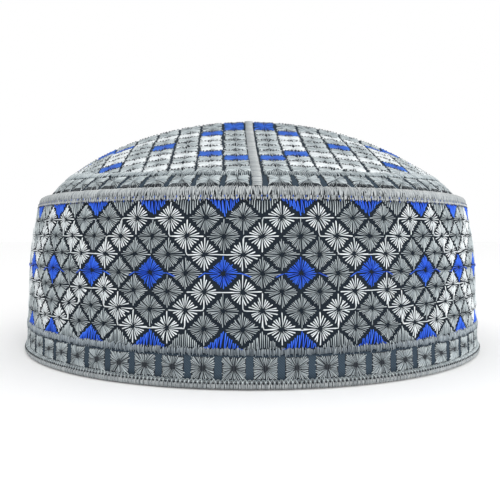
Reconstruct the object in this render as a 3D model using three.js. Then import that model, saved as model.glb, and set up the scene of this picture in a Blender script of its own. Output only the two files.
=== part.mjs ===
import * as THREE from "three";

// A kufi: a brimless cap of stiff embroidered cloth, standing on its hem.
// Millimetres, +Z up. The cap's front faces -Y and X runs from ear to ear.
// The origin is the middle of the hem's underside.

// Plan of the band, an oval that narrows a little upwards
const HALF_WIDTH = 90.5;
const HALF_LENGTH = 95;
const PLAN_HEIGHT = 33.4; // the height at which the two half axes hold
const TAPER_PER_MM = 0.000485;
const PLAN_SIDES = 72;

// Above the plan height the band's two sides lean in further than its front and back
const SHOULDER = { lean: 3.2, power: 1.5, stations: [PLAN_HEIGHT, 41, 48] };

// Cloth walls, and the clearance between pieces that touch
const BAND_WALL = 2.4;
const CROWN_WALL = 2;
const GAP = 0.3;

// Edge cords: the hem cord lies under the band and the rim cord on top of it
const HEM_CORD = { height: 2.5, proud: 1.2, width: 4.1, corner: 0.7 };
const RIM_CORD = { low: 54.9, height: 3.7, proud: 0.2, width: 3.4, sides: 8 };

// Dome of the crown. It rolls up steeply at its edge. From there nearly straight slopes at the
// front and back rise to a ridge, which arches from side to side and spreads out into the round of
// the crown at its two ends. Along the ridge the storage crease pinches the cloth up
const CROWN_EDGE = 58.3;
const EDGE_ROLL = { rise: 3, power: 20 };
const RIDGE = { rise: 28.5, archPower: 1.56, slopePower: 0.59, softness: 0.15, spread: 0.58 };
const PINCH = { rise: 2.5, reach: 8.4, power: 4 };
const DOME_SHARES = [0.02, 0.045, 0.07, 0.1, 0.18, 0.28, 0.4, 0.53, 0.66, 0.78, 0.88, 0.945, 0.98, 1];

// Seam allowance of the crown, turned down inside the band
const ALLOWANCE = { inset: BAND_WALL + GAP, shoulder: 54.2, bottom: 49 };

// Raised satin-stitched lines
const RAISED = { height: 0.8, bevel: 0.4 };
const BAND_LINE = { low: 9.9, high: 12 };
const CROWN_LINE = { fromEdge: 6.5, width: 3.4, steps: 36 };
const STRIPE = { x: -1.55, width: 3.4 };

const crownInset = RIM_CORD.width - RIM_CORD.proud + GAP;
const crownHalfWidth = halfWidthAt(CROWN_EDGE) - crownInset;
const crownHalfLength = HALF_LENGTH * planScale(CROWN_EDGE) - crownInset;

function planScale(height) {
  return 1 - TAPER_PER_MM * (height - PLAN_HEIGHT);
}

function halfWidthAt(height) {
  const above = Math.max(0, height - PLAN_HEIGHT) / (CROWN_EDGE - PLAN_HEIGHT);
  return HALF_WIDTH * planScale(height) - SHOULDER.lean * above ** SHOULDER.power;
}

// A point beside the band's outer face: turn 0 is the front, and inset is the distance in from the face
function bandPoint(turn, height, inset) {
  const x = (halfWidthAt(height) - inset) * Math.sin(turn);
  const y = -(HALF_LENGTH * planScale(height) - inset) * Math.cos(turn);
  return new THREE.Vector3(x, y, height);
}

// Height of the crown's outer face at a share of the way from its middle to its edge
function crownHeight(share, turn) {
  const across = Math.min((share * Math.sin(turn)) ** 2, 1 - 1e-6);
  const halfChord = Math.sqrt(1 - across);
  const fromRidge = Math.abs(share * Math.cos(turn)) / halfChord;
  const softness = RIDGE.softness + RIDGE.spread * across;
  const slope = (distance) => (distance ** 2 + softness ** 2) ** (RIDGE.slopePower / 2);
  const drop = (slope(fromRidge) - slope(0)) / (slope(1) - slope(0));
  const roll = EDGE_ROLL.rise * (1 - share ** EDGE_ROLL.power);
  const fromCrease = Math.abs(share * Math.cos(turn)) * crownHalfLength;
  const pinch = PINCH.rise * halfChord * Math.exp(-((fromCrease / PINCH.reach) ** PINCH.power));
  return CROWN_EDGE + roll + RIDGE.rise * halfChord ** RIDGE.archPower * (1 - drop) + pinch;
}

function crownPoint(share, turn, lift = 0, thickness = 0) {
  const x = (crownHalfWidth - thickness) * share * Math.sin(turn);
  const y = -(crownHalfLength - thickness) * share * Math.cos(turn);
  return new THREE.Vector3(x, y, crownHeight(share, turn) + lift - thickness);
}

function crownHeightAt(x, y) {
  const across = x / crownHalfWidth;
  const along = -y / crownHalfLength;
  return crownHeight(Math.hypot(across, along), Math.atan2(across, along));
}

function closedGeometry(points, triangles) {
  let volume = 0;
  for (const [a, b, c] of triangles) {
    volume += points[a].dot(new THREE.Vector3().crossVectors(points[b], points[c]));
  }
  const outward = volume > 0 ? triangles : triangles.map(([a, b, c]) => [a, c, b]);
  const geometry = new THREE.BufferGeometry();
  geometry.setAttribute("position", new THREE.Float32BufferAttribute(points.flatMap((p) => p.toArray()), 3));
  geometry.setIndex(outward.flat());
  geometry.computeVertexNormals();
  return geometry;
}

// Triangles between neighbouring stations of a loop of points, all with the same count
function loopTriangles(stations, count, closed) {
  const triangles = [];
  for (let s = 0; s < (closed ? stations : stations - 1); s++) {
    const next = (s + 1) % stations;
    for (let i = 0; i < count; i++) {
      const j = (i + 1) % count;
      triangles.push([s * count + i, s * count + j, next * count + j]);
      triangles.push([s * count + i, next * count + j, next * count + i]);
    }
  }
  return triangles;
}

const turns = Array.from({ length: PLAN_SIDES }, (_, i) => (2 * Math.PI * i) / PLAN_SIDES);

// A ring round the cap. Each corner of its section is a function from turn to point
function ring(section) {
  const points = section.flatMap((corner) => turns.map(corner));
  return closedGeometry(points, loopTriangles(section.length, PLAN_SIDES, true));
}

function sideBand() {
  const low = HEM_CORD.height + GAP;
  const high = RIM_CORD.low - GAP;
  const heights = [low, ...SHOULDER.stations, high];
  const outer = heights.map((height) => (turn) => bandPoint(turn, height, 0));
  const inner = heights.map((height) => (turn) => bandPoint(turn, height, BAND_WALL)).reverse();
  return ring([...outer, ...inner]);
}

// Flat below and above, with a ridge along the middle of each side
function hemCord() {
  const { height, proud, width, corner } = HEM_CORD;
  const outer = -proud;
  const inner = outer + width;
  return ring([
    (turn) => bandPoint(turn, 0, outer + corner),
    (turn) => bandPoint(turn, height / 2, outer),
    (turn) => bandPoint(turn, height, outer + corner),
    (turn) => bandPoint(turn, height, inner - corner),
    (turn) => bandPoint(turn, height / 2, inner),
    (turn) => bandPoint(turn, 0, inner - corner),
  ]);
}

function rimCord() {
  const { low, height, proud, width, sides } = RIM_CORD;
  const section = Array.from({ length: sides }, (_, i) => (2 * Math.PI * i) / sides);
  return ring(section.map((angle) => (turn) => bandPoint(
    turn,
    low + (height / 2) * (1 + Math.sin(angle)),
    width / 2 - proud - (width / 2) * Math.cos(angle),
  )));
}

// The dome's outer face, its turned-down allowance and its inner face, from pole to pole
function crown() {
  const outer = DOME_SHARES.map((share) => (turn) => crownPoint(share, turn));
  const inner = DOME_SHARES.map((share) => (turn) => crownPoint(share, turn, 0, CROWN_WALL)).reverse();
  const { inset, shoulder, bottom } = ALLOWANCE;
  const allowance = [
    (turn) => bandPoint(turn, RIM_CORD.low, crownInset),
    (turn) => bandPoint(turn, shoulder, inset),
    (turn) => bandPoint(turn, bottom, inset),
    (turn) => bandPoint(turn, bottom, inset + CROWN_WALL),
    (turn) => bandPoint(turn, shoulder, inset + CROWN_WALL),
  ];
  const stations = [...outer, ...allowance, ...inner];
  const points = stations.flatMap((station) => turns.map(station));
  const triangles = loopTriangles(stations.length, PLAN_SIDES, false);
  const top = points.push(crownPoint(0, 0)) - 1;
  const under = points.push(crownPoint(0, 0, 0, CROWN_WALL)) - 1;
  const last = (stations.length - 1) * PLAN_SIDES;
  for (let i = 0; i < PLAN_SIDES; i++) {
    const j = (i + 1) % PLAN_SIDES;
    triangles.push([top, j, i]);
    triangles.push([under, last + i, last + j]);
  }
  return closedGeometry(points, triangles);
}

function bandLine() {
  const { low, high } = BAND_LINE;
  const top = -GAP - RAISED.height;
  return ring([
    (turn) => bandPoint(turn, low, -GAP),
    (turn) => bandPoint(turn, low + RAISED.bevel, top),
    (turn) => bandPoint(turn, high - RAISED.bevel, top),
    (turn) => bandPoint(turn, high, -GAP),
  ]);
}

// A bar through rows of four corners, closed at both ends
function bar(rows) {
  const triangles = loopTriangles(rows.length, 4, false);
  const end = (rows.length - 1) * 4;
  triangles.push([0, 2, 1], [0, 3, 2], [end, end + 1, end + 2], [end, end + 2, end + 3]);
  return closedGeometry(rows.flat(), triangles);
}

// Half of the oval line: it runs on one side of the cap, from the stripe's front to its back
function crownLine(side) {
  const shareAt = (fromEdge) => 1 - fromEdge / crownHalfLength;
  const outer = CROWN_LINE.fromEdge;
  const inner = outer + CROWN_LINE.width;
  const top = GAP + RAISED.height;
  const start = Math.asin((side * STRIPE.x + STRIPE.width / 2 + GAP) / (crownHalfWidth * shareAt(inner)));
  return bar(Array.from({ length: CROWN_LINE.steps + 1 }, (_, i) => {
    const turn = side * (start + (Math.PI - 2 * start) * (i / CROWN_LINE.steps));
    return [
      crownPoint(shareAt(outer), turn, GAP),
      crownPoint(shareAt(outer + RAISED.bevel), turn, top),
      crownPoint(shareAt(inner - RAISED.bevel), turn, top),
      crownPoint(shareAt(inner), turn, GAP),
    ];
  }));
}

// The stripe lies over the dome from the rim cord at the front to the one at the back
function crownStripe() {
  const reach = crownHalfLength - GAP;
  const steps = [...DOME_SHARES.map((share) => share * crownHalfLength).filter((y) => y < reach), reach];
  const rows = [...steps.map((y) => -y).reverse(), 0, ...steps];
  const low = STRIPE.width / 2;
  const high = low - RAISED.bevel;
  const section = [[-low, 0], [low, 0], [high, RAISED.height], [-high, RAISED.height]];
  return bar(rows.map((y) => section.map(([across, lift]) => {
    const x = STRIPE.x + across;
    return new THREE.Vector3(x, y, crownHeightAt(x, y) + GAP + lift);
  })));
}

const COLOURS = {
  cloth: { color: 0x33414e, roughness: 0.9, metalness: 0 },
  cord: { color: 0x8b9092, roughness: 0.75, metalness: 0 },
  satin: { color: 0x9aa0a2, roughness: 0.6, metalness: 0 },
};

function piece(name, geometry, colour) {
  const mesh = new THREE.Mesh(geometry, new THREE.MeshStandardMaterial(COLOURS[colour]));
  mesh.name = name;
  return mesh;
}

const kufi = new THREE.Group();
kufi.name = "kufi";
kufi.add(
  piece("side_band", sideBand(), "cloth"),
  piece("crown", crown(), "cloth"),
  piece("rim_cord", rimCord(), "cord"),
  piece("hem_cord", hemCord(), "cord"),
  piece("band_line", bandLine(), "satin"),
  piece("crown_line_left", crownLine(-1), "satin"),
  piece("crown_line_right", crownLine(1), "satin"),
  piece("crown_stripe", crownStripe(), "satin"),
);

export default kufi;
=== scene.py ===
"""Looks for the kufi: its cloth shells, cords and embroidery, thread by thread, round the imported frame.

Lengths in this script are millimetres. Meshes, lights and the camera are turned into metres as they are made.
The cap's front faces -Y. The band is charted by (s, z): s runs along the oval from the front, towards +X.
The crown is charted by arc lengths (u, v) from its middle, or near its edge by (s, d), with d the distance
in from the edge.
"""

import bpy
import numpy as np
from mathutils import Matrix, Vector

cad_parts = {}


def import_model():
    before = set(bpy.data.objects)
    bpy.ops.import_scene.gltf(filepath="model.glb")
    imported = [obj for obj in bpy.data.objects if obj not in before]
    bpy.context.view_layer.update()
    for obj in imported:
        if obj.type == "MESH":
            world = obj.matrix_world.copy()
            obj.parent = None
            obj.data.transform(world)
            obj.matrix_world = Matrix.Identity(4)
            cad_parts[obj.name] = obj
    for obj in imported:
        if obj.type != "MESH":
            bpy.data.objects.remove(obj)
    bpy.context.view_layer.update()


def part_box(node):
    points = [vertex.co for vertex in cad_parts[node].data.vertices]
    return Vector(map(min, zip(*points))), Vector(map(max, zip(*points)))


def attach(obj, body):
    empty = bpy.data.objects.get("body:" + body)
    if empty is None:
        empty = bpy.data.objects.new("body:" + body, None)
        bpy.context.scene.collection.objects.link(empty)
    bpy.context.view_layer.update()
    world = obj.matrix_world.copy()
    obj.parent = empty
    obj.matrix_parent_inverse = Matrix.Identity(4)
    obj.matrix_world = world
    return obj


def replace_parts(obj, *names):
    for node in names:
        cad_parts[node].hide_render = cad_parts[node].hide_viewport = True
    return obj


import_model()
rng = np.random.default_rng(7)

MM = 0.001


def box_mm(node):
    """Lowest and highest corner of a CAD node, in millimetres."""
    low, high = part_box(node)
    return np.array(low) / MM, np.array(high) / MM


# Plan oval of the band, as in the part's source
PLAN_HEIGHT = 33.4
TAPER_PER_MM = 0.000485
BAND_WALL = 2.4
CROWN_WALL = 2.0
GAP = 0.3
band_low, band_high = box_mm("side_band")
hem_top = box_mm("hem_cord")[1][2]
rim_low, rim_high = (corner[2] for corner in box_mm("rim_cord"))


def plan_scale(height):
    return 1 - TAPER_PER_MM * (height - PLAN_HEIGHT)


HALF_WIDTH = band_high[0] / plan_scale(band_low[2])
HALF_LENGTH = band_high[1] / plan_scale(band_low[2])

# Above the plan height the band's two sides lean in further than its front and back
CROWN_EDGE = 58.3
SHOULDER = {"lean": 3.2, "power": 1.5}


def half_width_at(height):
    above = np.maximum(0, height - PLAN_HEIGHT) / (CROWN_EDGE - PLAN_HEIGHT)
    return HALF_WIDTH * plan_scale(height) - SHOULDER["lean"] * above ** SHOULDER["power"]


# Dome of the crown
CROWN_INSET = 3.5
EDGE_ROLL = {"rise": 3.0, "power": 20}
RIDGE = {"rise": 28.5, "arch_power": 1.56, "slope_power": 0.59, "softness": 0.15, "spread": 0.58}
PINCH = {"rise": 2.5, "reach": 8.4, "power": 4}
crown_half_width = half_width_at(CROWN_EDGE) - CROWN_INSET
crown_half_length = HALF_LENGTH * plan_scale(CROWN_EDGE) - CROWN_INSET
ALLOWANCE = {"inset": BAND_WALL + GAP, "shoulder": 54.2, "bottom": 49}

# Cords, and the raised lines
HEM_CORD = {"low": 0.1, "height": hem_top - 0.1, "proud": 1.2, "width": 4.1}
RIM_CORD = {"low": rim_low, "height": rim_high - rim_low, "proud": 0.2, "width": 3.4}
band_line_low, band_line_high = (corner[2] for corner in box_mm("band_line"))
CROWN_LINE = {"from_edge": 6.5, "width": 3.4}
stripe_box = box_mm("crown_stripe")
STRIPE = {"x": (stripe_box[0][0] + stripe_box[1][0]) / 2, "width": stripe_box[1][0] - stripe_box[0][0]}

# Lattice of the band's stars: 104 half-star columns, eight to a repeat, and rows 0 to 8
COLUMNS = 104
FIRST_COLUMN = -12.07
ROW = 5.358
LAST_ROW = 8
MIDDLE_ROW = 4


def arc_table(half_width, half_length):
    """Arc length along an oval against the turn from the front."""
    turns = np.linspace(0, 2 * np.pi, 20001)
    x = half_width * np.sin(turns)
    y = -half_length * np.cos(turns)
    lengths = np.concatenate([[0], np.cumsum(np.hypot(np.diff(x), np.diff(y)))])
    return turns, lengths


OVAL_TURNS, OVAL_LENGTHS = arc_table(HALF_WIDTH, HALF_LENGTH)
PERIMETER = OVAL_LENGTHS[-1]
COLUMN = PERIMETER / COLUMNS


def turn_at(s):
    return np.interp(np.mod(s, PERIMETER), OVAL_LENGTHS, OVAL_TURNS)


def round_the_oval(number):
    """Places at even distances all round the band."""
    return np.arange(number) * PERIMETER / number


def unit(vectors):
    return vectors / np.linalg.norm(vectors, axis=-1, keepdims=True)


def band_surface(s, z, lift):
    """Points at a height over the band's outer face, and the face's outward normals."""
    step = 0.5
    turn = turn_at(s)
    half_width, half_length = half_width_at(z), HALF_LENGTH * plan_scale(z)
    x = (half_width + lift) * np.sin(turn)
    y = -(half_length + lift) * np.cos(turn)
    narrowing = (half_width_at(z - step) - half_width_at(z + step)) / (2 * step)
    up = (np.sin(turn) ** 2 * narrowing + np.cos(turn) ** 2 * TAPER_PER_MM * half_length) / half_width
    normals = unit(np.stack([np.sin(turn) / half_width, -np.cos(turn) / half_length, up], axis=-1))
    return np.stack([x, y, z + 0 * turn], axis=-1), normals


def crown_height(x, y):
    """Height of the crown's outer face over the plan."""
    across = np.minimum((x / crown_half_width) ** 2, 1 - 1e-6)
    share = np.hypot(x / crown_half_width, y / crown_half_length)
    half_chord = np.sqrt(1 - across)
    from_ridge = np.abs(y / crown_half_length) / half_chord
    softness = RIDGE["softness"] + RIDGE["spread"] * across

    def slope(distance):
        return (distance ** 2 + softness ** 2) ** (RIDGE["slope_power"] / 2)

    drop = (slope(from_ridge) - slope(0)) / (slope(1) - slope(0))
    roll = EDGE_ROLL["rise"] * (1 - share ** EDGE_ROLL["power"])
    pinch = PINCH["rise"] * half_chord * np.exp(-(np.abs(y) / PINCH["reach"]) ** PINCH["power"])
    return CROWN_EDGE + roll + RIDGE["rise"] * half_chord ** RIDGE["arch_power"] * (1 - drop) + pinch


def crown_surface(x, y, lift):
    """Points at a height over the crown's outer face, and the face's outward normals."""
    step = 0.05
    slope_x = (crown_height(x + step, y) - crown_height(x - step, y)) / (2 * step)
    slope_y = (crown_height(x, y + step) - crown_height(x, y - step)) / (2 * step)
    normals = unit(np.stack([-slope_x, -slope_y, np.ones_like(slope_x)], axis=-1))
    points = np.stack([x, y, crown_height(x, y)], axis=-1)
    return points + normals * lift[..., None], normals


def edge_surface(s, d, lift):
    """The crown near its edge: s along the oval from the front, d in from the edge."""
    turn = turn_at(s)
    share = 1 - d / crown_half_length
    x = crown_half_width * share * np.sin(turn)
    y = -crown_half_length * share * np.cos(turn)
    return crown_surface(x, y, lift)


def section_table(reach, height_at):
    """Plan distance from the crown's middle against arc length, for one of its two middle sections."""
    plan = np.linspace(0, reach * 0.999, 4001)
    lengths = np.concatenate([[0], np.cumsum(np.hypot(np.diff(plan), np.diff(height_at(plan))))])
    return plan, lengths


PLAN_X, ARC_X = section_table(crown_half_width, lambda x: crown_height(x, 0 * x))
PLAN_Y, ARC_Y = section_table(crown_half_length, lambda y: crown_height(0 * y, y))
CONVERGENCE = 0.056


def grid_plan(u, v):
    """Plan position of the crown's chart: u from the middle along the ridge, v across it. The columns
    draw together a little towards the front and the back."""
    x = np.sign(u) * np.interp(np.abs(u), ARC_X, PLAN_X)
    y = np.sign(v) * np.interp(np.abs(v), ARC_Y, PLAN_Y)
    return x * (1 - CONVERGENCE * (y / crown_half_length) ** 2), y


def grid_surface(u, v, lift):
    x, y = grid_plan(u, v)
    return crown_surface(x, y, lift)


def outward_share(u, v):
    """How far out a place of the crown's chart lies, from 0 in the middle to 1 at the edge."""
    x, y = grid_plan(u, v)
    return np.hypot(x / crown_half_width, y / crown_half_length)


def mesh_piece(name, points, faces, material, key, values):
    """A smooth mesh object from points in millimetres and faces of equal size, with one attribute."""
    mesh = bpy.data.meshes.new(name)
    corners = faces.shape[1]
    mesh.vertices.add(len(points))
    mesh.vertices.foreach_set("co", (points * MM).astype(np.float32).ravel())
    mesh.loops.add(faces.size)
    mesh.loops.foreach_set("vertex_index", faces.astype(np.int32).ravel())
    mesh.polygons.add(len(faces))
    mesh.polygons.foreach_set("loop_start", np.arange(0, faces.size, corners, dtype=np.int32))
    mesh.update(calc_edges=True)
    mesh.shade_smooth()
    attribute = mesh.attributes.new(key, "FLOAT_VECTOR", "POINT")
    attribute.data.foreach_set("vector", values.astype(np.float32).ravel())
    mesh.materials.append(material)
    piece = bpy.data.objects.new(name, mesh)
    bpy.context.scene.collection.objects.link(piece)
    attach(piece, "root")
    return piece


# Threads. A strand is a point, rings of three corners (left, top, right), and a point

TONES = 16


def strand_faces(rings):
    faces = []
    last = 3 * rings + 1
    for a, b in ((0, 1), (1, 2), (2, 0)):
        faces.append((0, 1 + b, 1 + a))
        for ring in range(rings - 1):
            low = 1 + 3 * ring
            faces.append((low + a, low + b, low + 3 + b))
            faces.append((low + a, low + 3 + b, low + 3 + a))
        faces.append((last - 3 + a, last - 3 + b, last))
    return np.array(faces)


def strand_marks(paths):
    """The "thread" attribute at each point of the strands: the length along the strand, the place across
    it (1 on top, 0 at its sides, a half at both ends), and a whole number for the strand's own tone plus
    the share of the way along, which runs from 0.05 to 0.95."""
    number, stations = paths.shape[:2]
    steps = np.linalg.norm(np.diff(paths, axis=1), axis=-1)
    along = np.concatenate([np.zeros((number, 1)), np.cumsum(steps, axis=1)], axis=1)
    share = along / along[:, -1:] * 0.9 + 0.05
    tone = np.floor(rng.random((number, 1)) * TONES)
    across = np.concatenate([[0.5], np.tile([0, 1, 0], stations - 2), [0.5]])
    corners = np.full(stations, 3)
    corners[[0, -1]] = 1
    marks = (np.repeat(along, corners, axis=1), across, np.repeat(share + tone, corners, axis=1))
    return np.stack(np.broadcast_arrays(*marks), axis=-1)


def lay(surface, path, lift, width, height=0.34):
    """Strands along paths of chart positions, an array over (strand, station, 2). Lifts and widths
    run over (strand, station) too, or are the same for all."""
    shape = path.shape[:2]
    points, normals = surface(path[..., 0], path[..., 1], np.broadcast_to(lift, shape))
    return {"points": points, "normals": normals, "widths": np.broadcast_to(width, shape), "height": height}


def thread_piece(name, groups, material):
    """One mesh of many strands, in groups whose strands have equally many stations."""
    all_points, all_faces, all_marks = [], [], []
    count = 0
    for group in groups:
        paths, normals = group["points"], group["normals"]
        number, stations = paths.shape[:2]
        across = unit(np.cross(np.gradient(paths, axis=1), normals))
        half = across * group["widths"][..., None] / 2
        top = paths + normals * group["height"]
        rings = np.stack([paths - half, top, paths + half], axis=2)[:, 1:-1]
        points = np.concatenate([paths[:, :1], rings.reshape(number, -1, 3), paths[:, -1:]], axis=1)
        each = points.shape[1]
        starts = count + each * np.arange(number)
        all_points.append(points.reshape(-1, 3))
        all_marks.append(strand_marks(paths).reshape(-1, 3))
        all_faces.append((starts[:, None, None] + strand_faces(stations - 2)[None]).reshape(-1, 3))
        count += each * number
    return mesh_piece(name, np.concatenate(all_points), np.concatenate(all_faces), material,
                      "thread", np.concatenate(all_marks))


def stitch_profile(share, width, lift):
    """A stitch along its length: it comes up out of the cloth and dives into it again."""
    return {"share": np.array(share), "width": np.array(width), "lift": np.array(lift)}


RAY = stitch_profile((0, 0.14, 0.5, 0.87, 1), (0, 0.5, 0.9, 1, 0), (-0.2, 0.06, 0.1, 0.02, -0.25))
SATIN = stitch_profile((0, 0.1, 0.5, 0.9, 1), (0, 1, 1, 1, 0), (-0.2, 0.0, 0.14, 0.0, -0.2))

# Close rays cover the cloth and leave alone the dark teeth of painted shade between their tips
CLOSE_RAY = stitch_profile((0, 0.04, 0.5, 0.9, 1), (0, 1, 1.1, 0.85, 0), (-0.05, 0.1, 0.12, 0.05, -0.25))

# Rays of the crown's cells stay near the surface, so that neighbouring rows run into each other
CELL_RAY = stitch_profile((0, 0.04, 0.5, 0.94, 1), (0, 1, 1.1, 0.9, 0), (-0.05, 0.1, 0.12, 0.1, -0.05))


def straight(surface, starts, ends, width, profile, lift=0.0, height=0.26):
    """Strands straight in a chart, from starts to ends, lying at random heights over each other."""
    stack = 0.1
    number = len(starts)
    path = starts[:, None] + (ends - starts)[:, None] * profile["share"][None, :, None]
    inner = (profile["width"] > 0).astype(float)
    lifts = profile["lift"] + (lift + stack * rng.random((number, 1))) * inner
    widths = profile["width"] * width * (0.88 + 0.24 * rng.random((number, 1)))
    return lay(surface, path, lifts, widths, height)


def bent(surface, corners, lift, width, height=0.34, lean=0.1):
    """Strands along bent paths given by their corners, an array over (strand, corner, 2)."""
    end_lift = -0.2
    path = corners + rng.normal(0, lean, corners.shape)
    stations = path.shape[1]
    lifts = np.full(stations, lift)
    lifts[[0, -1]] = end_lift
    widths = np.full(stations, width)
    widths[[0, -1]] = 0
    return lay(surface, path, lifts, widths, height)


def diamond_tips(half_wide, half_high, rays):
    """Ray tips of a diamond star, evenly spread by angle."""
    angles = 2 * np.pi * np.arange(rays) / rays
    reach = 1 / (np.abs(np.cos(angles)) / half_wide + np.abs(np.sin(angles)) / half_high)
    return np.stack([reach * np.cos(angles), reach * np.sin(angles)], axis=1)


def square_tips(half_wide, half_high, per_side):
    """Ray tips of a square star, evenly spread along its sides."""
    corners = np.array([(1, 1), (-1, 1), (-1, -1), (1, -1)]) * (half_wide, half_high)
    sides = [start + (end - start) * np.arange(per_side)[:, None] / per_side
             for start, end in zip(corners, np.roll(corners, -1, axis=0))]
    return np.concatenate(sides)


# Underlay stitches in near-black, a painted shadow under the square stars
SHADOW_UNDERLAY = {"stitches": 9, "margin": 0.4, "overlap": 1.3, "height": 0.03}


def shadow_underlay(surface, centres, half_wide, half_high):
    """Painted shadow: near-black ground stitches under square stars, close enough together to hide the cloth.
    """
    number = SHADOW_UNDERLAY["stitches"]
    spread = np.linspace(-1, 1, number) * (half_wide - SHADOW_UNDERLAY["margin"])
    stations = np.array([-1, -0.93, 0, 0.93, 1]) * half_high
    lifts = np.array([-0.1, 0.04, 0.06, 0.04, -0.1])
    width = SHADOW_UNDERLAY["overlap"] * 2 * half_wide / number
    offsets = np.stack(np.broadcast_arrays(spread[:, None], stations[None]), axis=-1)
    path = (centres[:, None, None] + offsets[None]).reshape(-1, len(stations), 2)
    return lay(surface, path, lifts, np.array([0, width, width, width, 0]), SHADOW_UNDERLAY["height"])


UNEVEN = {"length": 0.045, "start": 0.14, "further": 0.55}


def star_rays(surface, centres, tips, width, hole=0.5, jitter=0.1, profile=RAY):
    """The rays of many equal stars, from the hole in the middle out to the tips. Every other ray starts
    further out, so that they stay apart near the hole."""
    number = len(centres) * len(tips)
    middle = np.repeat(centres, len(tips), axis=0)
    tip = np.tile(tips, (len(centres), 1)) * rng.normal(1, UNEVEN["length"], (number, 1))
    tip += rng.normal(0, jitter, (number, 2))
    further = np.tile(np.arange(len(tips)) % 2, len(centres))[:, None] * UNEVEN["further"]
    start = unit(tip) * (hole + further)
    start += rng.normal(0, UNEVEN["start"], (number, 2))
    return straight(surface, middle + start, middle + tip, width, profile)


# Materials

BUMP = {"strength": 0.3, "metres": 0.0001}
THREAD_SHEEN = {"roughness": 0.5, "specular": 0.25}
# Weights of the thread's colour: across paints shade at a strand's sides and highlight on its top, the far
# end weight paints highlight at its tip; tone and fuzz are the thread's own uneven colour
THREAD_TONE_AND_PAINTED_LIGHT = {"across": 0.5, "tone": 0.014, "painted_tip_highlight": 0.36, "far_end_power": 2.5, "fuzz": 0.15}
FUZZ_PER_METRE = 1100
PLY = {"slant": 1.6, "scale": 0.314}
CLOTH_SHEEN = {"roughness": 0.9, "specular": 0.2}
TWILL = {"Scale": 0.8, "Distortion": 1.5, "Detail Scale": 3.0}


def new_material(name, sheen):
    material = bpy.data.materials.new(name)
    material.use_nodes = True
    tree = material.node_tree
    shader = tree.nodes["Principled BSDF"]
    shader.inputs["Roughness"].default_value = sheen["roughness"]
    shader.inputs["Specular IOR Level"].default_value = sheen["specular"]
    return material, tree.nodes, tree.links, shader


def math_node(nodes, links, operation, *inputs):
    node = nodes.new("ShaderNodeMath")
    node.operation = operation
    for socket, value in zip(node.inputs, inputs):
        if isinstance(value, (int, float)):
            socket.default_value = value
        else:
            links.new(value, socket)
    return node.outputs[0]


def attribute_parts(nodes, links, name):
    """The three coordinates of a mesh attribute."""
    attribute = nodes.new("ShaderNodeAttribute")
    attribute.attribute_name = name
    parts = nodes.new("ShaderNodeSeparateXYZ")
    links.new(attribute.outputs["Vector"], parts.inputs[0])
    return [parts.outputs[axis] for axis in "XYZ"]


def fine_bump(nodes, links, shader, height):
    bump = nodes.new("ShaderNodeBump")
    bump.inputs["Strength"].default_value = BUMP["strength"]
    bump.inputs["Distance"].default_value = BUMP["metres"]
    links.new(height, bump.inputs["Height"])
    links.new(bump.outputs[0], shader.inputs["Normal"])


def thread_material(name, dark, middle, light):
    """Twisted embroidery thread: painted shade where strands meet, painted highlight on their tops and where
    they bend down at the far end, each strand in a tone of its own, with plies that show as slanting ridges."""
    material, nodes, links, shader = new_material(name, THREAD_SHEEN)
    length, across, mark = attribute_parts(nodes, links, "thread")
    share = math_node(nodes, links, "FRACT", mark)
    tone = math_node(nodes, links, "FLOOR", mark)
    geometry = nodes.new("ShaderNodeNewGeometry")
    fuzz = nodes.new("ShaderNodeTexNoise")
    fuzz.inputs["Scale"].default_value = FUZZ_PER_METRE
    links.new(geometry.outputs["Position"], fuzz.inputs["Vector"])
    # Painted highlight where each strand bends down at its far end
    painted_tip_highlight = math_node(nodes, links, "POWER", share, THREAD_TONE_AND_PAINTED_LIGHT["far_end_power"])
    # Painted shade at the strand's sides and painted highlight on its top, by the place across it
    value = math_node(nodes, links, "MULTIPLY", across, THREAD_TONE_AND_PAINTED_LIGHT["across"])
    value = math_node(nodes, links, "MULTIPLY_ADD", tone, THREAD_TONE_AND_PAINTED_LIGHT["tone"], value)
    value = math_node(nodes, links, "MULTIPLY_ADD", painted_tip_highlight, THREAD_TONE_AND_PAINTED_LIGHT["painted_tip_highlight"], value)
    value = math_node(nodes, links, "MULTIPLY_ADD", fuzz.outputs["Fac"], THREAD_TONE_AND_PAINTED_LIGHT["fuzz"], value)
    # The ramp's dark end is painted shade where strands meet, and its light end is painted highlight
    ramp = nodes.new("ShaderNodeValToRGB")
    ramp.color_ramp.elements[0].position = 0.1
    ramp.color_ramp.elements[0].color = (*dark, 1)
    ramp.color_ramp.elements[1].position = 0.95
    ramp.color_ramp.elements[1].color = (*light, 1)
    half_way = ramp.color_ramp.elements.new(0.5)
    half_way.color = (*middle, 1)
    links.new(value, ramp.inputs[0])
    links.new(ramp.outputs[0], shader.inputs["Base Color"])
    twist = math_node(nodes, links, "MULTIPLY_ADD", length, PLY["slant"], across)
    line = nodes.new("ShaderNodeCombineXYZ")
    links.new(twist, line.inputs[0])
    ply = nodes.new("ShaderNodeTexWave")
    ply.inputs["Scale"].default_value = PLY["scale"]
    links.new(line.outputs[0], ply.inputs["Vector"])
    fine_bump(nodes, links, shader, ply.outputs["Fac"])
    return material


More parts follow.
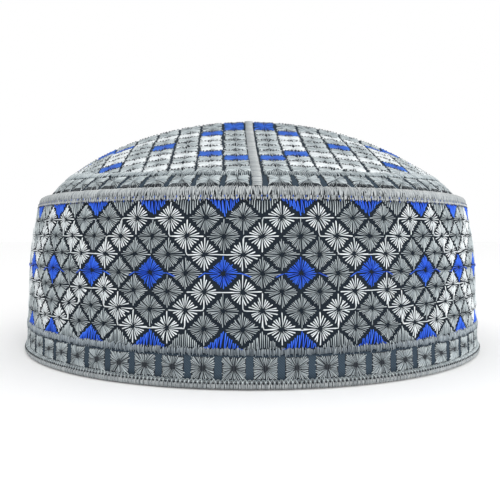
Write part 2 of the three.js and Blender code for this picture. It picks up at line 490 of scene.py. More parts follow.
def cloth_material(name, painted_shade_colour, dark, light):
    """Fine diagonal twill. The chart's third coordinate is the distance, in millimetres, into the close
    embroidery, where the cloth is darker with painted shade."""
    material, nodes, links, shader = new_material(name, CLOTH_SHEEN)
    x, y, into = attribute_parts(nodes, links, "chart")
    plane = nodes.new("ShaderNodeCombineXYZ")
    links.new(x, plane.inputs[0])
    links.new(y, plane.inputs[1])
    twill = nodes.new("ShaderNodeTexWave")
    twill.bands_direction = "DIAGONAL"
    for socket, value in TWILL.items():
        twill.inputs[socket].default_value = value
    links.new(plane.outputs[0], twill.inputs["Vector"])
    open_cloth = nodes.new("ShaderNodeValToRGB")
    open_cloth.color_ramp.elements[0].color = (*dark, 1)
    open_cloth.color_ramp.elements[1].color = (*light, 1)
    links.new(twill.outputs["Fac"], open_cloth.inputs[0])
    # Mask of painted shade: none half a millimetre out of the close embroidery, full half a millimetre into
    # it
    edge = nodes.new("ShaderNodeMapRange")
    edge.inputs["From Min"].default_value = -0.5
    edge.inputs["From Max"].default_value = 0.5
    links.new(into, edge.inputs["Value"])
    mix = nodes.new("ShaderNodeMix")
    mix.data_type = "RGBA"
    mix.inputs["B"].default_value = (*painted_shade_colour, 1)
    links.new(edge.outputs[0], mix.inputs["Factor"])
    links.new(open_cloth.outputs[0], mix.inputs["A"])
    links.new(mix.outputs["Result"], shader.inputs["Base Color"])
    fine_bump(nodes, links, shader, twill.outputs["Fac"])
    return material


# The first colour is painted shade for the cloth among close embroidery; the other two are the twill's own
# stripes
GROUND = cloth_material("slate_twill", (0.006, 0.0105, 0.0165), (0.02, 0.033, 0.047), (0.036, 0.054, 0.074))

# Threads, each with its colour of painted shade where strands meet, its own colour on its flanks, and its
# colour of painted highlight on its top
GREY = thread_material("grey_thread", (0.02, 0.027, 0.033), (0.25, 0.292, 0.312), (0.77, 0.83, 0.84))
WHITE = thread_material("white_thread", (0.07, 0.085, 0.1), (0.66, 0.71, 0.73), (0.97, 0.99, 0.99))
BLUE = thread_material("blue_thread", (0.002, 0.008, 0.085), (0.013, 0.076, 0.61), (0.07, 0.23, 0.9))
CORD = thread_material("cord_thread", (0.06, 0.068, 0.075), (0.265, 0.29, 0.303), (0.63, 0.65, 0.648))
LINE = thread_material("line_thread", (0.02, 0.028, 0.036), (0.165, 0.2, 0.232), (0.56, 0.61, 0.63))
# Near-black painted shade: the cords' cores where they show between the wraps, and the dark underlay, needle
# holes, teeth and notches
DARK_CORE_AND_PAINTED_SHADE = thread_material("cord_core_and_painted_shade", (0.007, 0.01, 0.014), (0.012, 0.016, 0.022), (0.026, 0.032, 0.04))

# The crown's white and blue are darker copies of the band's, painted shade for the crown's light, and its
# blue serves the rim's loops too
CROWN_SHADED_WHITE = thread_material(
    "crown_shaded_white_thread", (0.07, 0.085, 0.1), (0.62, 0.67, 0.69), (0.86, 0.89, 0.9))
SHADED_BLUE = thread_material(
    "shaded_blue_thread", (0.002, 0.008, 0.07), (0.016, 0.08, 0.47), (0.075, 0.22, 0.68))

THREADS = {"white": WHITE, "grey": GREY, "blue": BLUE}
CROWN_THREADS = {"white": CROWN_SHADED_WHITE, "grey": GREY, "blue": SHADED_BLUE}


# Cloth shells

AROUND = 288
OPEN_CLOTH = -5.0
loop_s = round_the_oval(AROUND)
loop_turn = turn_at(loop_s)


def loop_faces(stations, closed):
    """Quads between neighbouring loops of points, and from the last to the first if closed."""
    loop = np.arange(AROUND)
    following = (loop + 1) % AROUND
    quads = []
    for a in range(stations if closed else stations - 1):
        b = (a + 1) % stations
        quads.append(np.stack([a * AROUND + loop, a * AROUND + following, b * AROUND + following,
                               b * AROUND + loop], axis=1))
    return np.concatenate(quads)


def band_loop(z, inset):
    return band_surface(loop_s, np.full(AROUND, float(z)), -inset)[0]


def side_band():
    low, high = band_low[2], band_high[2]
    heights = np.linspace(low, high, 24)
    top_edge_drop = 0.2
    stations = [band_loop(z, 0) for z in heights]
    stations.append(band_loop(high - top_edge_drop, BAND_WALL / 2))
    stations += [band_loop(z, BAND_WALL) for z in heights[::-1]]
    points = np.concatenate(stations)
    on_outer_face = np.arange(len(points)) < len(heights) * AROUND
    # Painted shade on the outer face from the band line up; below it, and on the other faces, the open cloth
    # colour
    into = np.where(on_outer_face, points[:, 2] - band_line_low, OPEN_CLOTH)
    chart = np.stack([np.tile(loop_s, len(stations)), points[:, 2], into], axis=1)
    faces = loop_faces(len(stations), True)
    piece = mesh_piece("band_cloth", points, faces, GROUND, "chart", chart)
    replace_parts(piece, "side_band")


def dome_loop(share, thickness):
    """A loop of the crown's outer face, or of its inner face at a thickness in from it."""
    x = crown_half_width * share * np.sin(loop_turn)
    y = -crown_half_length * share * np.cos(loop_turn)
    shrink_x = 1 - thickness / crown_half_width
    shrink_y = 1 - thickness / crown_half_length
    return np.stack([x * shrink_x, y * shrink_y, crown_height(x, y) - thickness], axis=1)


def crown():
    """A shell from the top down its outer face, round the allowance inside the band, and up its inner
    face. Two fans close the middles of its faces."""
    outer_shares = np.linspace(0.006, 1, 80)
    inner_shares = np.linspace(0.02, 1, 40)
    shoulder, bottom = ALLOWANCE["shoulder"], ALLOWANCE["bottom"]
    outside, inside = ALLOWANCE["inset"], ALLOWANCE["inset"] + CROWN_WALL
    turned_down = ((rim_low, CROWN_INSET), (shoulder, outside), (bottom, outside), (bottom, inside),
                   (shoulder, inside))
    stations = [dome_loop(share, 0) for share in outer_shares]
    stations += [band_loop(z, inset) for z, inset in turned_down]
    stations += [dome_loop(share, CROWN_WALL) for share in inner_shares[::-1]]
    points = np.concatenate(stations)
    quads = loop_faces(len(stations), False)
    top, under = len(points), len(points) + 1
    loop = np.arange(AROUND)
    following = (loop + 1) % AROUND
    last = (len(stations) - 1) * AROUND
    fans = np.concatenate([np.stack([np.full(AROUND, top), following, loop], axis=1),
                           np.stack([np.full(AROUND, under), last + loop, last + following], axis=1)])
    peak = crown_height(0.0, 0.0)
    points = np.concatenate([points, [[0, 0, peak], [0, 0, peak - CROWN_WALL]]])
    triangles = np.concatenate([quads[:, (0, 1, 2)], quads[:, (0, 2, 3)], fans])
    from_line = np.repeat((1 - outer_shares) * crown_half_length - CROWN_LINE["from_edge"], AROUND)

    # At 0 the painted shade on the cloth under the crown's cells is half as deep as under the band's stars
    into = np.full(len(points), OPEN_CLOTH)
    into[:len(from_line)] = np.minimum(from_line, 0)
    into[top] = 0
    chart = np.stack([points[:, 0], points[:, 1], into], axis=1)
    piece = mesh_piece("crown_cloth", points, triangles[:, ::-1], GROUND, "chart", chart)
    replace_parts(piece, "crown")


side_band()
crown()


# Embroidery of the band

def row_height(row):
    return PLAN_HEIGHT + (MIDDLE_ROW - row) * ROW


def column_s(column):
    return FIRST_COLUMN + column * COLUMN


def band_colour(column, row):
    if row == MIDDLE_ROW:
        return "blue" if column % 4 == 0 else "grey"
    if row in (2, 6):
        return "grey" if column % 4 == 0 else "white"
    beside_plain_peak = column % 8 in (3, 5)
    if row in (1, 7):
        return "white" if beside_plain_peak else "grey"
    return "grey" if beside_plain_peak else "white"


RAYS = {"white": 24, "grey": 40, "blue": 40}
RAY_WIDTH = {"white": 0.41, "grey": 0.28, "blue": 0.36}
LATTICE_GAP = 0.5
POINT_STRETCH = 1.05


def band_stars(threads):
    centres = {"white": [], "grey": [], "blue": []}
    for row in range(1, LAST_ROW):
        for column in range(row % 2, COLUMNS, 2):
            centres[band_colour(column, row)].append((column_s(column), row_height(row)))
    for colour, places in centres.items():
        rays = RAYS[colour]
        tips = diamond_tips(COLUMN - LATTICE_GAP, ROW - LATTICE_GAP, rays)
        tips[::rays // 4] *= POINT_STRETCH
        threads[colour].append(star_rays(band_surface, np.array(places), tips, RAY_WIDTH[colour]))


# Half stars: the blue ones start in column 0 and go to and fro at a slant, the grey ones stand apart
HALF_STARS = {"blue": {"first": 0, "slant": 0.22, "width": 0.42, "stitches": {0: 19, LAST_ROW: 19}},
              "grey": {"first": 2, "slant": 0.0, "width": 0.34, "stitches": {0: 15, LAST_ROW: 19}}}
HALF_STAR_EVERY = 4
HALF_STAR = {"tip_gap": 0.45, "base_overlap": 0.3, "even_lean": 0.3, "start_lean": 0.7, "end_lean": 0.3}


def half_star(column, row, base, look):
    """Upright stitches of one half diamond, from its base to its two slopes."""
    up = -1 if row == 0 else 1
    stitches = look["stitches"][row]
    starts, ends = [], []
    for i in range(stitches):
        offset = (i + 0.5) / stitches * 2 - 1
        tip = row_height(row) + up * (ROW * (1 - abs(offset)) - HALF_STAR["tip_gap"])
        s = column_s(column) + offset * COLUMN
        lean = look["slant"] * abs(tip - base) * (1 if i % 2 else HALF_STAR["even_lean"])
        starts.append((s - lean * HALF_STAR["start_lean"], base + rng.normal(0, 0.12)))
        ends.append((s + lean * HALF_STAR["end_lean"] + rng.normal(0, 0.1), tip + rng.normal(0, 0.25)))
    return starts, ends


def half_stars(threads):
    """The half diamonds that fill the top and the bottom of the pattern."""
    overlap = HALF_STAR["base_overlap"]
    for row, base in ((0, band_high[2] + overlap), (LAST_ROW, band_line_high - overlap)):
        for colour, look in HALF_STARS.items():
            starts, ends = [], []
            for column in range(look["first"], COLUMNS, HALF_STAR_EVERY):
                more_starts, more_ends = half_star(column, row, base, look)
                starts += more_starts
                ends += more_ends
            strands = straight(band_surface, np.array(starts), np.array(ends), look["width"], SATIN)
            threads[colour].append(strands)


# Threads that run on from star to star. LINK has distances from a star's middle
LINK = {"start": 0.8, "out": 2.6, "bend": 1.0, "cut": 0.35, "cut_rise": 0.1, "width": 0.35, "lift": 0.26}

# Each corner of a level thread is a share of a column to the side, and a sag
LEVEL_LINK = ((-0.86, 0), (-0.45, 0), (0, 0.1), (0.45, 0), (0.86, 0))

# Each corner of a blue star's tail, to its right or its left, is a distance out and a drop
BLUE_TAILS = {1: ((4.6, 0), (5.4, 0), (6.4, 0.35), (7.6, 0.9), (8.6, 1.2)),
              -1: ((4.6, 0), (5.4, 0), (6.2, 0.5), (7.0, 1.0), (7.6, 1.2))}


def white_link(column, row, step):
    """A thread from a white star to the next one on its right, a row lower or higher. It turns a corner
    beside the right star, or on the rising side of the lower half, below it."""
    s, z = column_s(column), row_height(row)
    to_s, to_z = column_s(column + 1), row_height(row + step)
    way = -step
    start, out, bend, cut, cut_rise = (LINK[key] for key in ("start", "out", "bend", "cut", "cut_rise"))
    if step == -1 and row > MIDDLE_ROW:
        return [(s + start, z), (s + out, z), (to_s - bend, z), (to_s - cut, z + way * cut_rise),
                (to_s, z + way * bend), (to_s, to_z - way * out), (to_s, to_z - way * start)]
    return [(s, z + way * start), (s, z + way * out), (s, to_z - way * bend),
            (s + cut, to_z - way * cut_rise), (s + bend, to_z), (to_s - out, to_z), (to_s - start, to_z)]


def both_white(column, row, to_column, to_row):
    return band_colour(column, row) == band_colour(to_column, to_row) == "white"


def links(threads):
    """Threads that run on from one star to the next."""
    turned = [white_link(column, row, step)
              for column in range(COLUMNS) for row in range(1, LAST_ROW) for step in (1, -1)
              if (column + row) % 2 == 0 and 1 <= row + step < LAST_ROW
              and both_white(column, row, column + 1, row + step)]
    level = [[(column_s(column) + share * COLUMN, row_height(row) - sag) for share, sag in LEVEL_LINK]
             for row in range(1, LAST_ROW, 2) for column in range(0, COLUMNS, 4)
             if both_white(column - 1, row, column + 1, row)]
    tails = [[(column_s(column) + side * out, row_height(MIDDLE_ROW) - drop) for out, drop in tail]
             for column in range(0, COLUMNS, 4) for side, tail in BLUE_TAILS.items()]
    threads["white"].append(bent(band_surface, np.array(turned), LINK["lift"], LINK["width"], lean=0.07))
    threads["white"].append(bent(band_surface, np.array(level), LINK["lift"], LINK["width"], lean=0.07))
    threads["blue"].append(bent(band_surface, np.array(tails), lift=0.3, width=0.36, lean=0.06))


SQUARES = {"number": 65, "half_wide": 3.5, "half_high": 3.3, "rays_per_side": 11, "ray_width": 0.26}
SQUARE_GROUND = {"half_wide": 3.3, "half_high": 3.4}


def square_stars():
    number = SQUARES["number"]
    middle = (band_line_low + hem_top) / 2
    centres = np.stack([round_the_oval(number), np.full(number, middle)], axis=1)
    tips = square_tips(SQUARES["half_wide"], SQUARES["half_high"], SQUARES["rays_per_side"])
    rays = star_rays(band_surface, centres, tips, SQUARES["ray_width"], hole=0.6, jitter=0.06)
    thread_piece("band_squares", [rays], GREY)
    # Near-black underlay under the squares, painted shadow between their rays
    ground = shadow_underlay(band_surface, centres, SQUARE_GROUND["half_wide"], SQUARE_GROUND["half_high"])
    thread_piece("band_squares_underlay", [ground], DARK_CORE_AND_PAINTED_SHADE)


band_threads = {"white": [], "grey": [], "blue": []}
band_stars(band_threads)
half_stars(band_threads)
links(band_threads)
square_stars()
for colour, groups in band_threads.items():
    thread_piece(f"band_stars_{colour}", groups, THREADS[colour])


# Embroidery of the crown. Its columns count out from the stripe, its rows from the pattern's middle

ROWS_TO_LINE = 9.5
LINE_INNER = crown_half_length - CROWN_LINE["from_edge"] - CROWN_LINE["width"]
LINE_SHARE = LINE_INNER / crown_half_length
CELL = {"wide": 9.19, "long": np.interp(LINE_INNER, PLAN_Y, ARC_Y) / ROWS_TO_LINE}
CELL_COLUMNS = range(1, 12)
FARTHEST_ROW = 12
CELL_RAYS = {"per_side": 9, "gap": 0.42, "overlap": 0.12, "past_middle": 0.35, "shortest": 0.7,
             "width": 0.38, "height": 0.24}
# Dark strands of painted shade in the rows where neighbouring cells' stitches go down
SHADED_NEEDLE_HOLES = {"per_cell": 7, "spread": 7.6, "kept": 0.88, "share_to_line": 0.005, "width": 0.5,
                "lift": 0.45, "height": 0.08}

# Colours by the distance in rows from the middle, for the four kinds of column. The rest are grey
CELL_COLOURS = {1: {1: "blue", 7: "blue"},
                2: {2: "blue", 6: "blue", 0: "white", 3: "white", 4: "white", 5: "white", 8: "white"},
                3: {0: "white", 2: "white", 6: "white", 8: "white"},
                4: {4: "blue", 0: "white", 2: "white", 6: "white", 8: "white"}}
COLUMN_KINDS = (1, 2, 3, 4, 3, 2)


def crown_colour(column, row):
    kind = COLUMN_KINDS[(column - 1) % len(COLUMN_KINDS)]
    return CELL_COLOURS[kind].get(abs(row), "grey")


def column_u(side, column, across=0.0):
    """A place in a column of cells on one side of the stripe, at a share of its width out from its middle."""
    return STRIPE["x"] + side * (STRIPE["width"] / 2 + (column - 0.5 + across) * CELL["wide"])


def inside_line(starts, ends):
    """The straight stitches between two sets of places, cut to what lies inside the satin line."""
    shares = np.linspace(0, 1, 41)
    way = ends - starts
    path = starts[:, None] + way[:, None] * shares[None, :, None]
    inside = outward_share(path[..., 0], path[..., 1]) < LINE_SHARE
    first = shares[inside.argmax(axis=1)]
    last = shares[len(shares) - 1 - inside[:, ::-1].argmax(axis=1)]
    kept = inside.any(axis=1) & ((last - first) * np.linalg.norm(way, axis=1) > CELL_RAYS["shortest"])
    cut_starts = starts + way * first[:, None]
    cut_ends = starts + way * last[:, None]
    return cut_starts[kept], cut_ends[kept]


def crown_cells(threads):
    half_wide = CELL["wide"] / 2 - CELL_RAYS["gap"]
    half_long = CELL["long"] / 2 + CELL_RAYS["overlap"]
    tips = square_tips(half_wide, half_long, CELL_RAYS["per_side"])
    centres = {"white": [], "grey": [], "blue": []}
    for side in (-1, 1):
        for column in CELL_COLUMNS:
            for row in range(-FARTHEST_ROW, FARTHEST_ROW + 1):
                place = (column_u(side, column) + rng.normal(0, 0.12), row * CELL["long"])
                centres[crown_colour(column, row)].append(place)
    for colour, places in centres.items():
        number = len(places) * len(tips)
        middle = np.repeat(np.array(places), len(tips), axis=0)
        tip = np.tile(tips, (len(places), 1)) + rng.normal(0, 0.2, (number, 2))
        past_middle = unit(tip) * -CELL_RAYS["past_middle"] + rng.normal(0, 0.3, (number, 2))
        starts, ends = inside_line(middle + past_middle, middle + tip)
        threads[colour].append(straight(grid_surface, starts, ends, CELL_RAYS["width"], CELL_RAY,
                                        height=CELL_RAYS["height"]))


def shaded_needle_holes():
    """Painted shade: dark strands in rows where the stitches of neighbouring cells go down into the cloth."""
    per_cell = SHADED_NEEDLE_HOLES["per_cell"]
    places = []
    for side in (-1, 1):
        for column in CELL_COLUMNS:
            for row in range(-FARTHEST_ROW, FARTHEST_ROW):
                for i in range(per_cell):
                    across = (i - per_cell // 2) / SHADED_NEEDLE_HOLES["spread"]
                    places.append((column_u(side, column, across), (row + 0.5) * CELL["long"]))
    places = np.array(places) + rng.normal(0, (0.12, 0.14), (len(places), 2))
    inside = outward_share(places[:, 0], places[:, 1]) < LINE_SHARE - SHADED_NEEDLE_HOLES["share_to_line"]
    chosen = places[inside & (rng.random(len(places)) < SHADED_NEEDLE_HOLES["kept"])]
    reach = 0.6 + 0.35 * rng.random(len(chosen))
    path = np.stack([chosen + np.stack([0.05 * k + 0 * reach, reach * k], axis=1)
                     for k in (-1, -0.6, 0.6, 1)], axis=1)
    lift, width = SHADED_NEEDLE_HOLES["lift"], SHADED_NEEDLE_HOLES["width"]
    return lay(grid_surface, path, np.array([-0.1, lift, lift, -0.1]), np.array([0, width, width, 0]),
               SHADED_NEEDLE_HOLES["height"])


# Ring of square stars round the crown's edge, the same number on each side of the stripe
RING = {"each_side": 29, "beside_stripe": 6.35, "near": 0.35, "far": CROWN_LINE["from_edge"] - 0.1,
        "half_wide": 3.6, "ground_half_wide": 3.5, "rays_per_side": 11}
ring_middle = (RING["near"] + RING["far"]) / 2
ring_half_high = (RING["far"] - RING["near"]) / 2
ring_share = 1 - ring_middle / crown_half_length

# The ring is shorter than the oval that s is measured on, so lengths along it are stretched
RING_OVAL_LENGTH = arc_table(crown_half_width * ring_share, crown_half_length * ring_share)[1][-1]
STRETCH = PERIMETER / RING_OVAL_LENGTH
# Dark teeth of painted shade between the ring's ray tips
RING_SHADE_TEETH = {"each_side": 5, "reach": 1.9, "past_edge": 0.15}


def ring_places():
    front, back = STRIPE["x"] * STRETCH, PERIMETER / 2 - STRIPE["x"] * STRETCH
    clear = RING["beside_stripe"] * STRETCH
    right = np.linspace(front + clear, back - clear, RING["each_side"])
    left = np.linspace(front - clear, back + clear - PERIMETER, RING["each_side"])
    return np.concatenate([right, left])


def ring_shade_teeth(s):
    """Painted shade: dark strands that fan out between the tips of the rays, over the outer edge of the
    squares.
    """
    near, each_side = RING["near"], RING_SHADE_TEETH["each_side"]
    strands = []
    for tooth in range(-each_side, each_side + 1):
        offset = tooth / (each_side + 0.5) * RING["half_wide"] * STRETCH
        inner = np.stack([s + offset * 0.5, np.full(len(s), near + RING_SHADE_TEETH["reach"])], axis=1)
        outer = np.stack([s + offset, np.full(len(s), near - RING_SHADE_TEETH["past_edge"])], axis=1)
        strands.append(np.stack([inner, inner * 0.6 + outer * 0.4, inner * 0.2 + outer * 0.8, outer], axis=1))
    return lay(edge_surface, np.concatenate(strands), lift=np.array([0.1, 0.42, 0.42, 0]),
               width=np.array([0, 0.3, 0.42, 0]), height=0.06)


def ring_stars():
    s = ring_places()
    centres = np.stack([s, np.full(len(s), ring_middle)], axis=1)
    tips = square_tips(RING["half_wide"] * STRETCH, ring_half_high, RING["rays_per_side"])
    rays = star_rays(edge_surface, centres, tips, 0.3, hole=0.35, profile=CLOSE_RAY)
    thread_piece("crown_ring_squares", [rays], GREY)
    # Near-black underlay under the ring's squares, painted shadow between their rays
    ground = shadow_underlay(edge_surface, centres, RING["ground_half_wide"] * STRETCH, ring_half_high)
    thread_piece("crown_ring_underlay", [ground], DARK_CORE_AND_PAINTED_SHADE)
    thread_piece("crown_ring_teeth", [ring_shade_teeth(s)], DARK_CORE_AND_PAINTED_SHADE)


crown_threads = {"white": [], "grey": [], "blue": []}
crown_cells(crown_threads)
thread_piece("crown_needle_holes", [shaded_needle_holes()], DARK_CORE_AND_PAINTED_SHADE)
ring_stars()
for colour, groups in crown_threads.items():
    thread_piece(f"crown_cells_{colour}", groups, CROWN_THREADS[colour])


# Satin lines

BAND_SATIN = {"pitch": 0.4, "ragged": 0.3, "width": 0.31, "lift": 0.3}
CROWN_SATIN = {"pitch": 0.7, "ragged": 0.45, "width": 0.52, "lift": 0.2}
STRIPE_SATIN = {"pitch": 0.34, "ragged": 0.1, "width": 0.38, "lift": 0.3}
PAST_LINE = 0.05
STRIPE_END_GAP = 0.5
STRIPE_SLANT = 0.007
LINE_TO_STRIPE = 0.3


def satin(surface, along, low, high, look):
    """Short stitches across a line, with ragged ends. The line runs along the chart's first coordinate."""
    number, ragged = len(along), look["ragged"]
    starts = np.stack([along, low + rng.normal(0, ragged, number)], axis=1)
    ends = np.stack([along + rng.normal(0, 0.1, number), high + rng.normal(0, ragged, number)], axis=1)
    return straight(surface, starts, ends, look["width"], SATIN, lift=look["lift"])


def band_line():
    s = round_the_oval(int(PERIMETER / BAND_SATIN["pitch"]))
    strands = satin(band_surface, s, band_line_low, band_line_high + PAST_LINE, BAND_SATIN)
    piece = thread_piece("band_satin_line", [strands], LINE)
    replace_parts(piece, "band_line")


def crown_lines():
    near = CROWN_LINE["from_edge"]
    far = near + CROWN_LINE["width"]
    s = round_the_oval(int(PERIMETER / CROWN_SATIN["pitch"]))
    from_stripe = np.abs(crown_half_width * np.sin(turn_at(s)) - STRIPE["x"])
    beside = from_stripe > STRIPE["width"] / 2 + LINE_TO_STRIPE
    strands = satin(edge_surface, s[beside], near, far, CROWN_SATIN)
    piece = thread_piece("crown_satin_line", [strands], GREY)
    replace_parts(piece, "crown_line_left", "crown_line_right")


def crown_stripe():
    reach = ARC_Y[-1] - STRIPE_END_GAP
    v = np.linspace(-reach, reach, int(2 * reach / STRIPE_SATIN["pitch"]))
    half = STRIPE["width"] / 2 + PAST_LINE

    def turned_surface(across, along, lift):
        return grid_surface(along + STRIPE_SLANT * across, across, lift)

    strands = satin(turned_surface, v, STRIPE["x"] - half, STRIPE["x"] + half, STRIPE_SATIN)
    piece = thread_piece("crown_satin_stripe", [strands], CORD)
    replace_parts(piece, "crown_stripe")


band_line()
crown_lines()
crown_stripe()


# Cords

RIM_WRAPS = {"pitch": 0.36, "low": -74, "high": 140, "ragged": 0.14, "slant": 0.4, "width": 0.46}
HEM_WRAPS = {"low": -80, "high": 115, "ragged": 0.05, "slant": 0.05, "width": 0.42}
WRAP = {"lift": -0.25, "stack": 0.18, "end_lift": -0.5, "height": 0.26}


def cord_surface(cord):
    """The chart of a cord: s along it, and the angle round it, 0 on the outer side and 90 degrees on top."""
    def surface(s, angle, lift):
        out, up = np.cos(angle), np.sin(angle)
        inset = cord["width"] / 2 - cord["proud"] - (cord["width"] / 2 + lift) * out
        z = cord["low"] + cord["height"] / 2 + (cord["height"] / 2 + lift) * up
        turn = turn_at(s)
        x = (half_width_at(z) - inset) * np.sin(turn)
        y = -(HALF_LENGTH * plan_scale(z) - inset) * np.cos(turn)
        normals = np.stack([out * np.sin(turn), -out * np.cos(turn), up], axis=-1)
        return np.stack([x, y, z], axis=-1), normals
    return surface


# A near-black core, painted shade where it shows between the cord's wraps
def cord_core_and_painted_shade(name, node, surface):
    depth = 0.3
    section = np.linspace(0, 2 * np.pi, 16, endpoint=False)
    points = np.concatenate([surface(loop_s, np.full(AROUND, angle), -depth)[0] for angle in section])
    faces = loop_faces(len(section), True)
    core = mesh_piece(name, points, faces, DARK_CORE_AND_PAINTED_SHADE, "thread", np.zeros_like(points))
    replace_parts(core, node)


def wraps(surface, s, look):
    """Threads wrapped over a cord, from one angle in degrees to another."""
    steps = 8
    number = len(s)
    share = np.linspace(0, 1, steps)[None]
    start = np.radians(look["low"]) + rng.normal(0, look["ragged"], (number, 1))
    angles = start + (np.radians(look["high"]) - start) * share
    sway = look["slant"] * rng.normal(0, 1, (number, 1)) * np.sin(np.pi * (share - 0.5))
    path = np.stack([s[:, None] + sway, angles], axis=-1)
    lifts = WRAP["lift"] + WRAP["stack"] * rng.random((number, 1)) + np.zeros((1, steps))
    lifts[:, (0, -1)] = WRAP["end_lift"]
    widths = np.full(steps, look["width"])
    widths[[0, -1]] = 0
    return lay(surface, path, lifts, widths, WRAP["height"])


def rim_cord():
    surface = cord_surface(RIM_CORD)
    cord_core_and_painted_shade("rim_core", "rim_cord", surface)
    s = round_the_oval(int(PERIMETER / RIM_WRAPS["pitch"]))
    piece = thread_piece("rim_wraps", [wraps(surface, s, RIM_WRAPS)], CORD)
    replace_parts(piece, "rim_cord")


# Stitches that lap from the rim cord over the band's edge, and the marks at their two ends: dark notches of
# painted shade, and blue loops
SKIRT = {"pitch": 0.44, "top": rim_low + 1.3, "tip": band_high[2] - 0.1}
RIM_MARKS = ({"height": rim_low + 0.75, "reach": 0.5}, {"height": SKIRT["tip"] + 0.1, "reach": 0.42})
NOTCHES = {"first": 0, "pitches": (1.85, 0.95)}
LOOPS = {"first": 0.9, "pitches": (3.7, 3.7)}


def rim_skirt():
    number = int(PERIMETER / SKIRT["pitch"])
    top, tip = SKIRT["top"], SKIRT["tip"]
    s = round_the_oval(number) + rng.normal(0, 0.08, number)
    lean = rng.normal(0, 0.18, number)
    ends = tip + rng.normal(0, 0.2, number)
    path = np.stack([np.stack([s + lean * share, top + (ends - top) * share], axis=-1)
                     for share in (0, 0.15, 0.5, 0.85, 1)], axis=1)
    lifts = np.array([-0.3, 0.16, 0.22, 0.1, -0.2]) + 0.06 * rng.random((number, 1))
    skirt = lay(band_surface, path, lifts, width=np.array([0, 0.46, 0.46, 0.4, 0]), height=0.26)
    thread_piece("rim_skirt", [skirt], CORD)


def rim_marks(look):
    """Short upright stitches in two rows round the rim."""
    rows = []
    for row, pitch in zip(RIM_MARKS, look["pitches"]):
        s = np.arange(look["first"], PERIMETER, pitch)
        s = s + rng.normal(0, 0.2, len(s))
        path = np.stack([np.stack([s + 0.08 * k, row["height"] + row["reach"] * k + 0 * s], axis=-1)
                         for k in (-1, 0, 1)], axis=1)
        rows.append(lay(band_surface, path, lift=np.array([0.35, 0.52, 0.35]), width=np.array([0, 0.42, 0]),
                        height=0.06))
    return rows


# The hem's stitches come in blocks: three wraps, an arch over them and a dark notch of painted shade under
# the arch
HEM_BLOCKS = 457
HEM_PITCH = PERIMETER / HEM_BLOCKS
BLOCK_WRAPS = (0.3, 0.68, 1.06)
ARCH = {"shares": (0, 0.06, 0.3, 0.7, 0.94, 1), "degrees": (30, 44, 66, 66, 44, 30),
        "lifts": (0, 0.3, 0.48, 0.48, 0.3, 0), "width": 0.38, "height": 0.26}
NOTCH = {"shares": (0.3, 0.4, 0.5, 0.6, 0.7), "degrees": (26, 31, 36, 41, 46), "lift": 0.26, "width": 0.58,
         "height": 0.08}


def block_paths(first, shape):
    """One path to a block, by shares of the block's pitch and by degrees round the cord."""
    return np.stack([np.stack([first + HEM_PITCH * share, np.radians(degrees) + 0 * first], axis=-1)
                     for share, degrees in zip(shape["shares"], shape["degrees"])], axis=1)


def hem_cord():
    surface = cord_surface(HEM_CORD)
    cord_core_and_painted_shade("hem_core", "hem_cord", surface)
    first = np.arange(HEM_BLOCKS) * HEM_PITCH
    s = np.concatenate([first + offset for offset in BLOCK_WRAPS])
    piece = thread_piece("hem_wraps", [wraps(surface, s, HEM_WRAPS)], CORD)
    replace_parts(piece, "hem_cord")
    arches = bent(surface, block_paths(first, ARCH), np.array(ARCH["lifts"]), ARCH["width"],
                  ARCH["height"], lean=0.015)
    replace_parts(thread_piece("hem_arches", [arches], GREY), "hem_cord")
    # Near-black strands under each arch, painted shade in the hole there
    holes = bent(surface, block_paths(first, NOTCH), NOTCH["lift"], NOTCH["width"], NOTCH["height"],
                 lean=0.02)
    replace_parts(thread_piece("hem_notch_shade", [holes], DARK_CORE_AND_PAINTED_SHADE), "hem_cord")


rim_cord()
rim_skirt()
# Dark notches round the rim, painted shade
thread_piece("rim_notch_shade", rim_marks(NOTCHES), DARK_CORE_AND_PAINTED_SHADE)
# The rim's blue loops take the darker copy of the blue, with its painted shade
thread_piece("rim_loops", rim_marks(LOOPS), SHADED_BLUE)
hem_cord()


# Stage, light and camera

CAMERA = {"at": (-11.1, -277.1, 44.95), "aim": (0, 0, 33.4), "lens": 45.94, "sensor": 36}
FRAME_PIXELS = 500
OPTICAL_CENTRE = (252.08, 259.84)
FLOOR = {"half_size": 3000, "colour": (0.98, 0.98, 0.98), "roughness": 0.9, "specular": 0.5}
CLOUDS = {"per_metre": 3, "tone": 0.99}
FRONT_LIGHT = {"at": (240, -860, 260), "aim": (0, 0, 40), "size": 450, "watts": 5}


def place(item, at, aim):
    """Puts a light or the camera at a place, turned towards its aim."""
    item.location = Vector(at) * MM
    item.rotation_mode = "QUATERNION"
    item.rotation_quaternion = (Vector(aim) - Vector(at)).to_track_quat("-Z", "Y")
    bpy.context.scene.collection.objects.link(item)


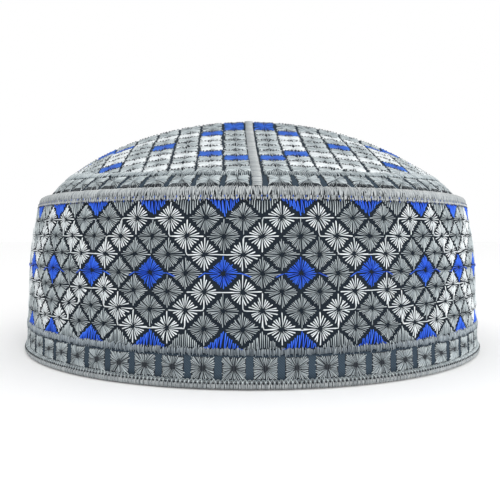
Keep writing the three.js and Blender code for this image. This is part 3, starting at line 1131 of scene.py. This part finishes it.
def floor_material():
    """White with a faint cloudiness."""
    material, nodes, links, shader = new_material("pale_floor", FLOOR)
    noise = nodes.new("ShaderNodeTexNoise")
    noise.inputs["Scale"].default_value = CLOUDS["per_metre"]
    ramp = nodes.new("ShaderNodeValToRGB")
    ramp.color_ramp.elements[0].color = (*[part * CLOUDS["tone"] for part in FLOOR["colour"]], 1)
    ramp.color_ramp.elements[1].color = (*FLOOR["colour"], 1)
    links.new(noise.outputs["Fac"], ramp.inputs[0])
    links.new(ramp.outputs[0], shader.inputs["Base Color"])
    return material


def stage():
    size = FLOOR["half_size"] * MM
    corners = [(-size, -size, 0), (size, -size, 0), (size, size, 0), (-size, size, 0)]
    mesh = bpy.data.meshes.new("floor")
    mesh.from_pydata(corners, [], [(0, 1, 2, 3)])
    mesh.materials.append(floor_material())
    floor = bpy.data.objects.new("floor", mesh)
    bpy.context.scene.collection.objects.link(floor)


def front_light():
    data = bpy.data.lights.new("front_light", "AREA")
    data.shape = "DISK"
    data.size = FRONT_LIGHT["size"] * MM
    data.energy = FRONT_LIGHT["watts"]
    place(bpy.data.objects.new("front_light", data), FRONT_LIGHT["at"], FRONT_LIGHT["aim"])


def camera():
    data = bpy.data.cameras.new("camera")
    data.lens = CAMERA["lens"]
    data.sensor_width = CAMERA["sensor"]
    data.shift_x = (FRAME_PIXELS / 2 - OPTICAL_CENTRE[0]) / FRAME_PIXELS
    data.shift_y = (OPTICAL_CENTRE[1] - FRAME_PIXELS / 2) / FRAME_PIXELS
    data.clip_start = 0.01
    eye = bpy.data.objects.new("camera", data)
    place(eye, CAMERA["at"], CAMERA["aim"])
    bpy.context.scene.camera = eye


def world():
    background = bpy.data.worlds.new("studio")
    background.use_nodes = True
    background.node_tree.nodes["Background"].inputs["Color"].default_value = (1, 1, 1, 1)
    background.node_tree.nodes["Background"].inputs["Strength"].default_value = 1.0
    bpy.context.scene.world = background
    bpy.context.scene.view_settings.view_transform = "Standard"


stage()
front_light()
camera()
world()
